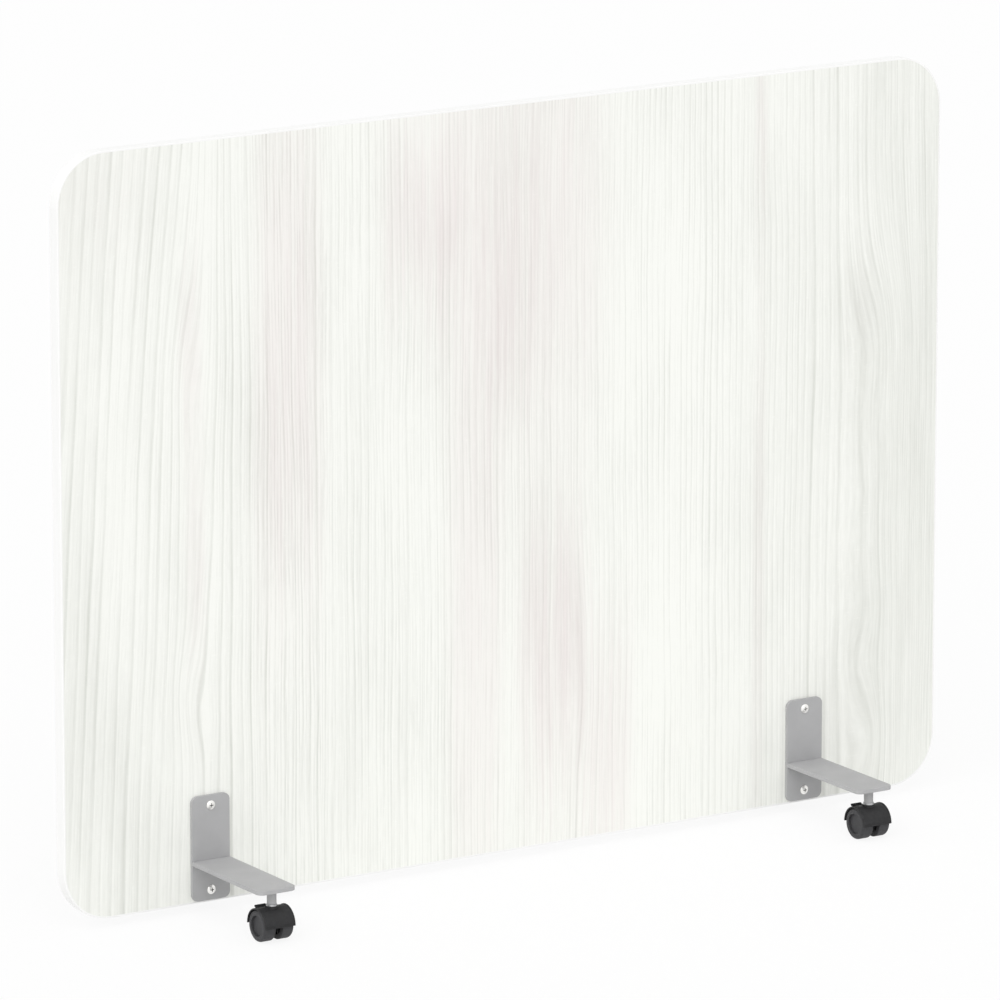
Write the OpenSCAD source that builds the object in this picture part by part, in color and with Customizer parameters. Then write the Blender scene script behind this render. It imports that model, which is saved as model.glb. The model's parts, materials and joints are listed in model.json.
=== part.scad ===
// Rolling partition: one upright board carried by four welded steel feet on swivel casters.
// The origin is on the floor below the middle of the board.
// X runs along the board, Y goes through its thickness and Z is up. The front is towards -Y.

/* [Board] */
// Length of the board
board_w = 1200; // [1000:10:1600]
// Height of the board alone
board_h = 888; // [700:2:1400]
// Thickness of the board
board_t = 18; // [16:1:28]
// Radius of the board corners
board_r = 60; // [20:1:150]
// Thickness of the band glued round the edge
band_t = 2; // [1:0.5:3]
// Radius that its two outer edges are scraped to
band_edge_r = 1; // [0.5:0.1:1]

/* [Feet] */
// From each end of the board to the middle of a foot
foot_inset = 190; // [100:5:300]
// Width of the flat bar that the feet are made of
bar_w = 50; // [45:1:70]
// Thickness of the upright plate
plate_t = 4; // [3:0.5:8]
// Height of the upright plate
plate_h = 124; // [110:2:160]
// From the lower edge of the board up to the lower end of the plate
plate_up = 3; // [0:1:15]
// Corner radius of plates and arms
bar_r = 8; // [4:1:14]
// From the lower end of the plate up to the underside of the arm
arm_up = 43; // [30:1:55]
// Thickness of the arm
arm_t = 5; // [4:0.5:8]
// Length of the arm from the plate to its free end
arm_l = 150; // [120:5:220]
// Leg of the fillet welds
weld_leg = 3; // [2:0.5:4]

/* [Through screws] */
// Distance between the two screws of a foot
hole_pitch = 100; // [80:1:104]
// Diameter of the screw shank
screw_d = 5; // [4:0.5:5]
// Diameter of the sleeve barrel
sleeve_d = 7; // [6.5:0.5:8]
// Diameter of the domed heads
head_d = 11; // [9:0.5:12]
// Height of the domed heads
head_h = 2.6; // [2:0.2:3.4]
// Height of the upright edge under the dome
head_edge = 0.6; // [0.2:0.1:1]
// Width of the cross recess
cross_w = 5; // [3.5:0.5:6]
// Depth of the cross recess
cross_depth = 1.6; // [1:0.2:2]
// Width of a wing of the cross recess
cross_wing = 1; // [0.6:0.1:1.4]
// Length of screw shank behind the front plate
screw_grip = 10; // [6:1:12]
// How far a sleeve ends short of the front plate
sleeve_short = 1; // [0.5:0.5:3]

/* [Caster post] */
// From the free end of the arm to the swivel axis
post_inset = 15; // [12:1:30]
// Diameter of the welded threaded boss
boss_d = 11; // [10:0.5:16]
// Length of the boss below the arm
boss_h = 15.3; // [12:0.1:30]
// Diameter of the threaded shank inside the boss
thread_d = 8; // [6:1:8]
// Length of the threaded shank
thread_l = 12; // [8:1:13]
// Diameter of the stem collar
collar_d = 12.5; // [11:0.5:14]
// Height of the stem collar
collar_h = 2.5; // [2:0.5:5]
// Diameter of the swivel spigot
spigot_d = 6; // [5:0.5:6]
// Spread of the weld round the top of the boss
boss_weld = 1.8; // [1:0.1:3]

/* [Wheels] */
// Diameter of a wheel
wheel_d = 37; // [36:0.5:50]
// Gap between the two wheels
wheel_gap = 9; // [9:0.5:12]
// How far the wheel faces stand back from the ends of the hood
face_inset = 0.3; // [0:0.1:1]
// From the swivel axis back to the axle
trail = 1; // [0:0.5:6]
// Radius of the outer tread corner
tread_r = 3.5; // [1.5:0.5:4]
// Radius of the inner tread corner
inner_r = 1.2; // [0.6:0.1:2]
// Diameter of the axle
axle_d = 6; // [5:0.5:8]
// Diameter of the wheel hub
hub_d = 12; // [11:0.5:16]
// Wall of the wheel rim under the tread
rim_wall = 5.5; // [2.5:0.5:6]
// Depth of the hollow inner side of a wheel
dish_depth = 9; // [5:0.5:10]
// Diameter of the recess in the outer face of a wheel
face_d = 24; // [16:1:26]
// Depth of that recess
face_depth = 3; // [1:0.5:3.5]
// Width of the chamfer round its mouth
face_chamfer = 0.5; // [0.2:0.1:1]
// Number of ribs inside a wheel
rib_count = 8; // [4:1:12]
// Thickness of the ribs inside a wheel
rib_t = 1.2; // [0.8:0.1:2]
// How far the ribs stand back from the inner side of a wheel
rib_back = 1; // [0.5:0.25:3]
// Thickness of a wheel behind the bore of its hub
hub_floor = 2.5; // [1.5:0.5:4]

/* [Hood] */
// Length of the hood along the axle
hood_l = 40; // [38:1:50]
// Wall of the hood
hood_wall = 1.2; // [1:0.1:2.5]
// Air between wheel and hood
hood_air = 0.6; // [0.4:0.1:1.5]
// Width of the raised rim along the free edges
hood_rim_w = 2; // [1:0.5:3]
// Rise of that rim
hood_rim_h = 0.5; // [0.2:0.1:0.8]
// Thickness of the web between the wheels
web_t = 8; // [8:0.5:8.5]
// Diameter of the round seat on top of the hood
seat_d = 15; // [13:1:20]
// Height of the seat above the crown of the hood
seat_h = 1.1; // [0.9:0.1:3]
// Rounding of the edges of the hood and its rims
hood_edge_r = 0.7; // [0.3:0.1:0.9]
// Wall of the web round the axle
axle_wall = 3; // [2:0.5:4]
// Wall between the swivel bore and the axle
spigot_floor = 2; // [1.5:0.5:3]

/* [Brake lever] */
// Width of the lever
lever_w = 14; // [10:1:20]
// Angle of the lever pivot behind the top of the hood
pivot_angle = 55; // [50:1:60]
// Height of the lever pivot above the wheel treads
pivot_h = 3.8; // [3.6:0.1:4.5]
// Diameter of the hub of the lever
lever_hub_d = 4.8; // [4:0.2:5.4]
// Diameter of the trunnions at its ends
trunnion_d = 2.4; // [2:0.1:3]
// Thickness of the pedal
pedal_t = 1.8; // [1.4:0.1:2.4]
// Length of the pedal from the pivot to its tip
pedal_l = 8.9; // [6:0.1:14]
// Rise of the pedal while the wheels are free
pedal_rise = 25; // [5:1:30]
// Turn of the lever from free to braked
brake_turn = 25; // [15:1:30]
// Radius of the nose of the brake cam
cam_r = 1; // [0.8:0.1:1.2]
// Thickness of the ears that carry the lever
ear_t = 2; // [1.5:0.1:3]
// Wall of the ears round the trunnions
ear_wall = 1.6; // [1.2:0.1:2]
// Radius of the two free corners of the pedal
pedal_corner = 2; // [1:0.5:3]
// Number of grip ribs on the pedal
grip_count = 3; // [2:1:3]
// Distance from one grip rib to the next
grip_pitch = 1.4; // [1:0.1:1.8]

/* [Clearances] */
// Radial play of a screw or sleeve in its hole
hole_play = 0.25; // [0.1:0.05:0.5]
// Radial play of threads that are drawn plain
thread_play = 0.05; // [0.02:0.01:0.1]
// Radial play of the swivel spigot, of the wheels on the axle and of the lever in its ears
run_play = 0.05; // [0.02:0.01:0.1]
// Play along the swivel axis
swivel_play = 0.3; // [0.2:0.05:0.6]
// Height of the snap lips that hold spigot and axle
snap_lip = 0.4; // [0.2:0.05:0.45]
// Depth of the grooves for the snap lips
snap_groove = 0.6; // [0.5:0.05:0.8]
// Width of the snap lips
snap_w = 1; // [0.8:0.1:1.4]
// Play between the brake lever and the ears beside it
lever_play = 0.4; // [0.2:0.1:0.8]
// Air that is left between the braked cam and the wheels
brake_air = 0.15; // [0.1:0.05:0.3]
// Play of the axle ends and of the spigot end in their bores
end_play = 0.5; // [0.3:0.1:0.8]
// How far the trunnions end inside the ears
trunnion_back = 0.2; // [0.1:0.1:0.4]

/* [Hidden] */

$fn = 64;
eps = 0.01;

// Heights, built up from the floor
wheel_r = wheel_d / 2;
axle_z = wheel_r;
hood_in_r = wheel_r + hood_air;
hood_r = hood_in_r + hood_wall;
hood_rim_r = hood_r + hood_rim_h;
crown_z = axle_z + hood_r;
seat_z = crown_z + seat_h;
collar_z = seat_z + swivel_play;
boss_z = collar_z + collar_h;
arm_z = boss_z + boss_h;
plate_z = arm_z - arm_up;
board_z = plate_z - plate_up;

// Places across and along
foot_x = board_w / 2 - foot_inset;
post_y = -plate_t - arm_l + post_inset;
hole_z = plate_z + plate_h / 2;
web_side = web_t / 2;
wheel_side = wheel_gap / 2;
wheel_w = hood_l / 2 - face_inset - wheel_side;

// Through screws
screw_hole_r = screw_d / 2 + hole_play;
sleeve_hole_r = sleeve_d / 2 + hole_play;
sleeve_bore_r = screw_d / 2 + thread_play;
sleeve_l = plate_t + board_t - sleeve_short;

// Swivel and axle
spigot_r = spigot_d / 2;
axle_r = axle_d / 2;
spigot_end_z = axle_z + axle_r + spigot_floor;
spigot_snap_z = (spigot_end_z + collar_z) / 2;
web_hub_r = axle_r + axle_wall;
bore_depth = wheel_w - face_depth - hub_floor;
axle_snap = bore_depth / 2;
rib_root = 0.3;
axle_half = wheel_side + bore_depth - end_play;

// Brake lever
pivot_r = wheel_r + pivot_h;
cam_l = pivot_h - brake_air;
window_w = lever_w + 2 * lever_play;
window_half = cam_l + lever_play;
ear_r = trunnion_d / 2 + ear_wall;

// ---------------------------------------------------------------- board

// Upright rectangle with round corners in the XZ plane, as a plain 2D outline
module round_rect(w, h, r) {
    square([w - 2 * r, h], center = true);
    square([w, h - 2 * r], center = true);
    for (sx = [-1, 1], sy = [-1, 1])
        translate([sx * (w / 2 - r), sy * (h / 2 - r)])
            circle(r, $fn = 128);
}

// Stands a 2D outline up and gives it a thickness along Y
module stand(z, y0, y1) {
    translate([0, y1, z])
        rotate([90, 0, 0])
            linear_extrude(y1 - y0)
                children();
}

// Repeats its child at the two screw heights
module at_holes() {
    for (sz = [-1, 1])
        translate([0, 0, hole_z + sz * hole_pitch / 2])
            children();
}

module board() {
    color("whitesmoke")
        difference() {
            stand(board_z + board_h / 2, -board_t / 2, board_t / 2)
                round_rect(board_w - 2 * band_t, board_h - 2 * band_t, board_r - band_t);
            for (sx = [-1, 1])
                translate([sx * foot_x, 0, 0])
                    at_holes()
                        rotate([90, 0, 0])
                            cylinder(r = sleeve_hole_r, h = board_t + 2, center = true);
        }
}

// Section of the band: its glued side at 0, its outer side at band_t with two scraped edges
module band_section() {
    translate([0, -board_t / 2])
        square([band_t - band_edge_r, board_t]);
    translate([0, -board_t / 2 + band_edge_r])
        square([band_t, board_t - 2 * band_edge_r]);
    for (s = [-1, 1])
        translate([band_t - band_edge_r, s * (board_t / 2 - band_edge_r)])
            circle(band_edge_r, $fn = 32);
}

// Straight stretch of band of length l, at the distance reach from the middle of the board
module band_run(reach, l) {
    translate([reach - band_t, 0, 0])
        rotate([90, 0, 0])
            linear_extrude(l, center = true)
                band_section();
}

// The band runs straight along the four sides and turns a quarter round at each corner
module edge_band() {
    color("white")
        translate([0, 0, board_z + board_h / 2])
            rotate([90, 0, 0]) {
                for (side = [0, 180]) {
                    rotate(side)
                        band_run(board_w / 2, board_h - 2 * board_r);
                    rotate(side + 90)
                        band_run(board_h / 2, board_w - 2 * board_r);
                }
                for (mx = [0, 1], my = [0, 1])
                    mirror([mx, 0, 0])
                        mirror([0, my, 0])
                            translate([board_w / 2 - board_r, board_h / 2 - board_r, 0])
                                rotate_extrude(angle = 90, $fn = 128)
                                    translate([board_r - band_t, 0])
                                        band_section();
            }
}

// ---------------------------------------------------------------- screws

// Half section of a headed shank: a dome on a short upright edge stands up from 0,
// and the shank hangs below
module headed_section(shank_d, shank_l) {
    dome_h = head_h - head_edge;
    dome_r = (head_d * head_d / 4 + dome_h * dome_h) / (2 * dome_h);
    intersection() {
        square([head_d / 2, head_h]);
        translate([0, head_h - dome_r])
            circle(dome_r, $fn = 128);
    }
    translate([0, -shank_l])
        square([shank_d / 2, shank_l]);
}

// Cross recess in the top of a head
module cross_recess() {
    for (a = [0, 90])
        rotate([0, 0, a])
            translate([-cross_w / 2, -cross_wing / 2, head_h - cross_depth])
                cube([cross_w, cross_wing, head_h]);
}

// The screws enter from the front
module screws() {
    color("gainsboro")
        for (sx = [-1, 1])
            translate([sx * foot_x, -board_t / 2 - plate_t, 0])
                at_holes()
                    rotate([90, 0, 0])
                        difference() {
                            rotate_extrude()
                                headed_section(screw_d, plate_t + screw_grip);
                            cross_recess();
                        }
}

// The sleeve nuts enter from the rear and end just short of the front plate
module sleeve_nuts() {
    color("silver")
        for (sx = [-1, 1])
            translate([sx * foot_x, board_t / 2 + plate_t, 0])
                at_holes()
                    rotate([-90, 0, 0])
                        difference() {
                            rotate_extrude()
                                difference() {
                                    headed_section(sleeve_d, sleeve_l);
                                    translate([0, -sleeve_l - 1])
                                        square([sleeve_bore_r, board_t]);
                                }
                            cross_recess();
                        }
}

// ---------------------------------------------------------------- feet

// Places a foot drawn for the front: the board face is at y = 0 and the arm points to -Y.
// The rear feet are the same foot turned half round.
module place_foot(sx, sy) {
    translate([sx * foot_x, sy * board_t / 2, 0])
        rotate([0, 0, sy < 0 ? 0 : 180])
            children();
}

// The front plates take the screw shank and the rear plates take the sleeve
module foot_plate(hole_r) {
    color("darkgray")
        difference() {
            stand(hole_z, -plate_t, 0)
                round_rect(bar_w, plate_h, bar_r);
            at_holes()
                rotate([90, 0, 0])
                    cylinder(r = hole_r, h = 4 * plate_t, center = true);
        }
}

// Flat arm with two round corners at its free end and a fillet weld under its root
module foot_arm() {
    color("darkgray") {
        translate([0, -plate_t, arm_z])
            linear_extrude(arm_t)
                union() {
                    translate([-bar_w / 2, -arm_l + bar_r])
                        square([bar_w, arm_l - bar_r]);
                    translate([-bar_w / 2 + bar_r, -arm_l])
                        square([bar_w - 2 * bar_r, bar_r]);
                    for (sx = [-1, 1])
                        translate([sx * (bar_w / 2 - bar_r), -arm_l + bar_r])
                            circle(bar_r);
                }
        translate([bar_w / 2 - weld_leg, -plate_t, arm_z])
            rotate([90, 0, -90])
                linear_extrude(bar_w - 2 * weld_leg)
                    polygon([[0, 0], [weld_leg, 0], [0, -weld_leg]]);
    }
}

// Threaded boss under the free end of the arm, with its weld drawn as a cone
module foot_boss() {
    color("darkgray")
        translate([0, post_y, boss_z])
            rotate_extrude()
                difference() {
                    union() {
                        square([boss_d / 2, boss_h]);
                        polygon([
                            [0, boss_h - weld_leg],
                            [boss_d / 2, boss_h - weld_leg],
                            [boss_d / 2 + boss_weld, boss_h],
                            [0, boss_h],
                        ]);
                    }
                    square([thread_d / 2 + thread_play, boss_h]);
                }
}

// ---------------------------------------------------------------- casters

// Puts a child on the swivel axis of a foot, at floor height
module at_post() {
    translate([0, post_y, 0])
        children();
}

// Puts a child on the axle, with its Z axis turned along X
module at_axle() {
    translate([0, post_y + trail, axle_z])
        rotate([0, 90, 0])
            children();
}

// Stem: threaded shank, collar and swivel spigot with a groove for the snap lip of the hood
module caster_stem() {
    color("silver")
        at_post()
            rotate_extrude()
                difference() {
                    union() {
                        translate([0, spigot_end_z])
                            square([spigot_r, collar_z - spigot_end_z + eps]);
                        translate([0, collar_z])
                            square([collar_d / 2, collar_h]);
                        translate([0, boss_z - eps])
                            square([thread_d / 2, thread_l + eps]);
                    }
                    translate([spigot_r - snap_groove, spigot_snap_z - snap_w])
                        square([snap_groove + 1, 2 * snap_w]);
                }
}

// Half section of the hood: a barrel of radius r and length l with rounded outer shoulders
module barrel_section(r, l) {
    translate([0, -l / 2])
        square([r - hood_edge_r, l]);
    translate([0, -l / 2 + hood_edge_r])
        square([r, l - 2 * hood_edge_r]);
    for (s = [-1, 1])
        translate([r - hood_edge_r, s * (l / 2 - hood_edge_r)])
            circle(hood_edge_r, $fn = 32);
}

// Space from a height of the axle upwards, over the whole caster
module above_axle(h) {
    translate([-hood_l, post_y + trail - 2 * hood_r, axle_z])
        cube([2 * hood_l, 4 * hood_r, h]);
}

// Outside of the hood: half barrel with a raised rim at both ends and along its lower edges
module hood_barrel() {
    intersection() {
        at_axle()
            rotate_extrude($fn = 96) {
                barrel_section(hood_r, hood_l);
                for (s = [-1, 1])
                    translate([0, s * (hood_l - hood_rim_w) / 2])
                        barrel_section(hood_rim_r, hood_rim_w);
            }
        above_axle(2 * hood_r);
    }
    intersection() {
        at_axle()
            rotate_extrude($fn = 96)
                barrel_section(hood_rim_r, hood_l);
        above_axle(hood_rim_w);
    }
}

// Gives a 2D outline drawn in the YZ plane round the axle a width across the caster
module across(w) {
    translate([0, post_y + trail, axle_z])
        rotate([90, 0, 90])
            linear_extrude(w, center = true)
                children();
}

// Ears beside the window of the hood, with the bores of the lever
module hood_ears() {
    difference() {
        across(window_w + 2 * ear_t)
            rotate(-pivot_angle) {
                translate([-ear_r, hood_in_r])
                    square([2 * ear_r, pivot_r - hood_in_r]);
                translate([0, pivot_r])
                    circle(ear_r);
            }
        across(window_w + 3 * ear_t)
            rotate(-pivot_angle)
                translate([0, pivot_r])
                    circle(trunnion_d / 2 + run_play);
    }
}

// Hood: half barrel over both wheels, seat for the stem, web between the wheels, axle hub,
// and at the rear a window with two ears for the brake lever
module caster_hood() {
    color("dimgray")
        difference() {
            union() {
                hood_barrel();
                at_post()
                    translate([0, 0, axle_z])
                        cylinder(d = seat_d, h = seat_z - axle_z);
                at_axle()
                    cylinder(r = web_hub_r, h = web_t, center = true);
                hood_ears();
            }
            // room for the two wheels
            for (s = [-1, 1])
                at_axle()
                    translate([0, 0, s > 0 ? web_side : -web_side - hood_l])
                        cylinder(r = hood_in_r, h = hood_l, $fn = 96);
            // window of the brake lever
            across(window_w)
                rotate(-pivot_angle)
                    translate([-window_half, wheel_r - 1])
                        square([2 * window_half, 2 * pivot_h + ear_r]);
            // bore of the axle
            at_axle()
                cylinder(r = axle_r, h = 2 * web_t, center = true);
            // bore of the swivel, with its snap lip left standing
            at_post()
                rotate_extrude()
                    difference() {
                        translate([0, spigot_end_z - end_play])
                            square([spigot_r + run_play, seat_z - spigot_end_z + 2 * end_play]);
                        translate([spigot_r + run_play - snap_lip, spigot_snap_z - snap_w / 2])
                            square([snap_lip + 1, snap_w]);
                    }
        }
}

// Side view of the brake lever, drawn round its pivot while the wheels are free.
// Pressing the pedal turns the cam towards the axle and on to both wheels.
module lever_outline() {
    circle(d = lever_hub_d);
    rotate(-90 - pivot_angle + brake_turn) {
        translate([0, -cam_r])
            square([cam_l - cam_r, 2 * cam_r]);
        translate([cam_l - cam_r, 0])
            circle(cam_r, $fn = 32);
    }
    rotate(pedal_rise) {
        translate([0, -pedal_t / 2])
            square([pedal_l - pedal_t / 2, pedal_t]);
        translate([pedal_l - pedal_t / 2, 0])
            circle(d = pedal_t, $fn = 32);
        for (i = [0:grip_count - 1])
            translate([pedal_l - pedal_t - i * grip_pitch, pedal_t / 2])
                circle(pedal_t / 4, $fn = 32);
    }
}

// Brake lever: cam, hub with two trunnions, and a pedal with grip ribs and round corners
module caster_brake_lever() {
    corner = pedal_corner;
    tip_y = pivot_r * sin(pivot_angle) + pedal_l;
    color("dimgray") {
        intersection() {
            across(lever_w)
                translate(pivot_r * [sin(pivot_angle), cos(pivot_angle)])
                    lever_outline();
            translate([0, post_y + trail, 0])
                linear_extrude(axle_z + 2 * hood_r)
                    union() {
                        translate([-lever_w / 2, 0])
                            square([lever_w, tip_y - corner]);
                        translate([-lever_w / 2 + corner, 0])
                            square([lever_w - 2 * corner, tip_y]);
                        for (sx = [-1, 1])
                            translate([sx * (lever_w / 2 - corner), tip_y - corner])
                                circle(corner, $fn = 32);
                    }
        }
        across(window_w + 2 * ear_t - 2 * trunnion_back)
            rotate(-pivot_angle)
                translate([0, pivot_r])
                    circle(d = trunnion_d);
    }
}

// Axle: plain pin with chamfered ends and a snap groove for each wheel
module caster_axle() {
    chamfer = 0.5;
    color("silver")
        at_axle()
            rotate_extrude()
                difference() {
                    polygon([
                        [0, -axle_half],
                        [axle_r - chamfer, -axle_half],
                        [axle_r, -axle_half + chamfer],
                        [axle_r, axle_half - chamfer],
                        [axle_r - chamfer, axle_half],
                        [0, axle_half],
                    ]);
                    for (s = [-1, 1])
                        translate([axle_r - snap_groove, s * (wheel_side + axle_snap) - snap_w])
                            square([snap_groove + 1, 2 * snap_w]);
                }
}

// Half section of a wheel: inner face at 0, outer face at wheel_w
module wheel_section() {
    bore_r = axle_r + run_play;
    difference() {
        union() {
            square([wheel_r - tread_r, wheel_w]);
            square([wheel_r - inner_r, wheel_w - tread_r]);
            translate([0, inner_r])
                square([wheel_r, wheel_w - tread_r - inner_r]);
            translate([wheel_r - tread_r, wheel_w - tread_r])
                circle(tread_r, $fn = 48);
            translate([wheel_r - inner_r, inner_r])
                circle(inner_r, $fn = 32);
        }
        // recess in the outer face, chamfered at its mouth
        polygon([
            [0, wheel_w - face_depth],
            [face_d / 2, wheel_w - face_depth],
            [face_d / 2, wheel_w - face_chamfer],
            [face_d / 2 + face_chamfer, wheel_w],
            [face_d / 2 + face_chamfer, wheel_w + 1],
            [0, wheel_w + 1],
        ]);
        // hollow of the inner side
        translate([hub_d / 2, -1])
            square([wheel_r - rim_wall - hub_d / 2, dish_depth + 1]);
        // blind bore of the hub, with its snap lip left standing
        difference() {
            translate([0, -1])
                square([bore_r, bore_depth + 1]);
            translate([bore_r - snap_lip, axle_snap - snap_w / 2])
                square([snap_lip, snap_w]);
        }
    }
}

// One wheel, drawn on the +X side and turned for the other side
module caster_wheel(side) {
    color("slategray")
        translate([0, post_y + trail, axle_z])
            rotate([0, 0, side > 0 ? 0 : 180])
                rotate([0, 90, 0])
                    translate([0, 0, wheel_side])
                        union() {
                            rotate_extrude($fn = 96)
                                wheel_section();
                            for (i = [0:rib_count - 1])
                                rotate([0, 0, (i + 0.5) * 360 / rib_count])
                                    translate([hub_d / 2 - rib_root, -rib_t / 2, rib_back])
                                        cube([
                                            wheel_r - rim_wall - hub_d / 2 + 2 * rib_root,
                                            rib_t,
                                            dish_depth - rib_back + rib_root,
                                        ]);
                        }
}

// ---------------------------------------------------------------- output

board();
edge_band();
screws();
sleeve_nuts();
place_foot(-1, -1) foot_plate(screw_hole_r);  // front_left_plate
place_foot(-1, -1) foot_arm();  // front_left_arm
place_foot(-1, -1) foot_boss();  // front_left_boss
place_foot(-1, -1) caster_stem();  // front_left_stem
place_foot(-1, -1) caster_hood();  // front_left_hood
place_foot(-1, -1) caster_axle();  // front_left_axle
place_foot(-1, -1) caster_brake_lever();  // front_left_brake_lever
place_foot(-1, -1) caster_wheel(-1);  // front_left_wheel_l
place_foot(-1, -1) caster_wheel(1);  // front_left_wheel_r
place_foot(1, -1) foot_plate(screw_hole_r);  // front_right_plate
place_foot(1, -1) foot_arm();  // front_right_arm
place_foot(1, -1) foot_boss();  // front_right_boss
place_foot(1, -1) caster_stem();  // front_right_stem
place_foot(1, -1) caster_hood();  // front_right_hood
place_foot(1, -1) caster_axle();  // front_right_axle
place_foot(1, -1) caster_brake_lever();  // front_right_brake_lever
place_foot(1, -1) caster_wheel(-1);  // front_right_wheel_l
place_foot(1, -1) caster_wheel(1);  // front_right_wheel_r
place_foot(-1, 1) foot_plate(sleeve_hole_r);  // rear_left_plate
place_foot(-1, 1) foot_arm();  // rear_left_arm
place_foot(-1, 1) foot_boss();  // rear_left_boss
place_foot(-1, 1) caster_stem();  // rear_left_stem
place_foot(-1, 1) caster_hood();  // rear_left_hood
place_foot(-1, 1) caster_axle();  // rear_left_axle
place_foot(-1, 1) caster_brake_lever();  // rear_left_brake_lever
place_foot(-1, 1) caster_wheel(1);  // rear_left_wheel_l
place_foot(-1, 1) caster_wheel(-1);  // rear_left_wheel_r
place_foot(1, 1) foot_plate(sleeve_hole_r);  // rear_right_plate
place_foot(1, 1) foot_arm();  // rear_right_arm
place_foot(1, 1) foot_boss();  // rear_right_boss
place_foot(1, 1) caster_stem();  // rear_right_stem
place_foot(1, 1) caster_hood();  // rear_right_hood
place_foot(1, 1) caster_axle();  // rear_right_axle
place_foot(1, 1) caster_brake_lever();  // rear_right_brake_lever
place_foot(1, 1) caster_wheel(1);  // rear_right_wheel_l
place_foot(1, 1) caster_wheel(-1);  // rear_right_wheel_r
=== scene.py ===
import json
import math

import bmesh
import bpy
from mathutils import Matrix, Vector

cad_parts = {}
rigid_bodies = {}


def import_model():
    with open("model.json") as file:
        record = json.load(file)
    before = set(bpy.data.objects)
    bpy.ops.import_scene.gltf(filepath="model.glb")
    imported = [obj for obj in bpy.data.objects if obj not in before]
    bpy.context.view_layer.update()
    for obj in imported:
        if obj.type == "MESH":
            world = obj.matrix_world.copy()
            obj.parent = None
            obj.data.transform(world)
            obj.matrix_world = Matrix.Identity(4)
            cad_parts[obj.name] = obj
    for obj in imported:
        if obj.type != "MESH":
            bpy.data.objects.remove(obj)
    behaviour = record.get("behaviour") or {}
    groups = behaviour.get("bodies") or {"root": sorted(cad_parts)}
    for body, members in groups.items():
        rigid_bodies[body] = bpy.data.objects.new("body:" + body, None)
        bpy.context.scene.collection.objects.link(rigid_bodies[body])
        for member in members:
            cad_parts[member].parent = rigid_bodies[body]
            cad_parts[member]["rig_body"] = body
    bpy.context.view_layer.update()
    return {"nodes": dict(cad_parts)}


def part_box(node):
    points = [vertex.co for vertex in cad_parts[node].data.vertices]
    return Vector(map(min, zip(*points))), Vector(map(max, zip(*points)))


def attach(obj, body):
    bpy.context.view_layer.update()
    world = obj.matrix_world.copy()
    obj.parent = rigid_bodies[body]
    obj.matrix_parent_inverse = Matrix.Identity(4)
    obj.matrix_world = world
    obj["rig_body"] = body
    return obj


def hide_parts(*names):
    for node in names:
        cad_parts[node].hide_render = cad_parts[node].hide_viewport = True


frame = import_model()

bl_info = {
    "name": "Rolling partition",
    "version": (1, 0, 0),
    "blender": (4, 5, 0),
    "location": "View3D > Sidebar > Partition",
    "description": "Finishes and small forms of a rolling partition with swivel casters",
    "category": "Object",
}

MM = 0.001
FEET = ("front_left", "front_right", "rear_left", "rear_right")
BOARD_LOW, BOARD_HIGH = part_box("edge_band")
BOARD_LENGTH = (BOARD_HIGH.x - BOARD_LOW.x) / MM
BOARD_TOP = BOARD_HIGH.z / MM
MERGE = 0.002 * MM          # corners of a mesh that lie closer than this are one
SHARP = math.radians(40)    # edges that turn more than this are rounded, or else stay crisp
FLAT = math.radians(0.2)    # faces that turn less than this against each other are one face
COAT_NAME = "Grey satin powder coat"
BEAD_SIDES = 16             # corners round a weld bead
BEAD_STEPS = 4              # steps along a weld bead for each of its scales
BEAD_END = 0.2              # share of a bead's width that is left at its round end
NOISE_SPAN = (0.3, 0.7)     # nearly all values of a noise lie between these
SCUFF_SPAN = (0.42, 0.75)   # values of the noise between which a scuff sets in
RECESS_RIM = (0.5, 0.62)    # shares of a head's radius between which the painted shade of its recess ends
RECESS_TOP = (1.0, 0.5)     # depths in mm below a head's crown between which it starts

# Growth rings of the wood decor from the left end of the board to the right: where a zone ends
# in mm, the distance between its rings in mm, and how dark they and the fine lines between them
# are where the zone starts
RING_ZONES = (
    (150, 15.0, 0.95, 0.4),
    (240, 13.0, 0.80, 0.7),
    (268, 11.0, 0.95, 0.9),
    (330, 11.0, 1.00, 2.4),
    (350, 10.0, 0.90, 2.2),
    (520, 10.0, 0.75, 1.1),
    (720, 9.0, 0.65, 1.2),
    (1000, 8.0, 0.58, 1.0),
    (1105, 13.0, 0.95, 0.6),
    (1200, 10.0, 0.40, 0.9),
)
ZONE_STARTS = (0, *(zone[0] for zone in RING_ZONES))
RING_DARKNESS, LINE_DARKNESS = 2, 3     # columns of that table

# Darkness across one ring, from the early wood at 0 over the late wood to the next ring at 1,
# and how dark the palest and the darkest of the rings are against the others
RING_PROFILE = ((0, 0.0), (0.1, 0.0), (0.3, 0.22), (0.62, 0.3), (0.8, 1.0), (0.9, 0.8), (1, 0.0))
RING_STRENGTH = (0.45, 1.25)

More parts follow.
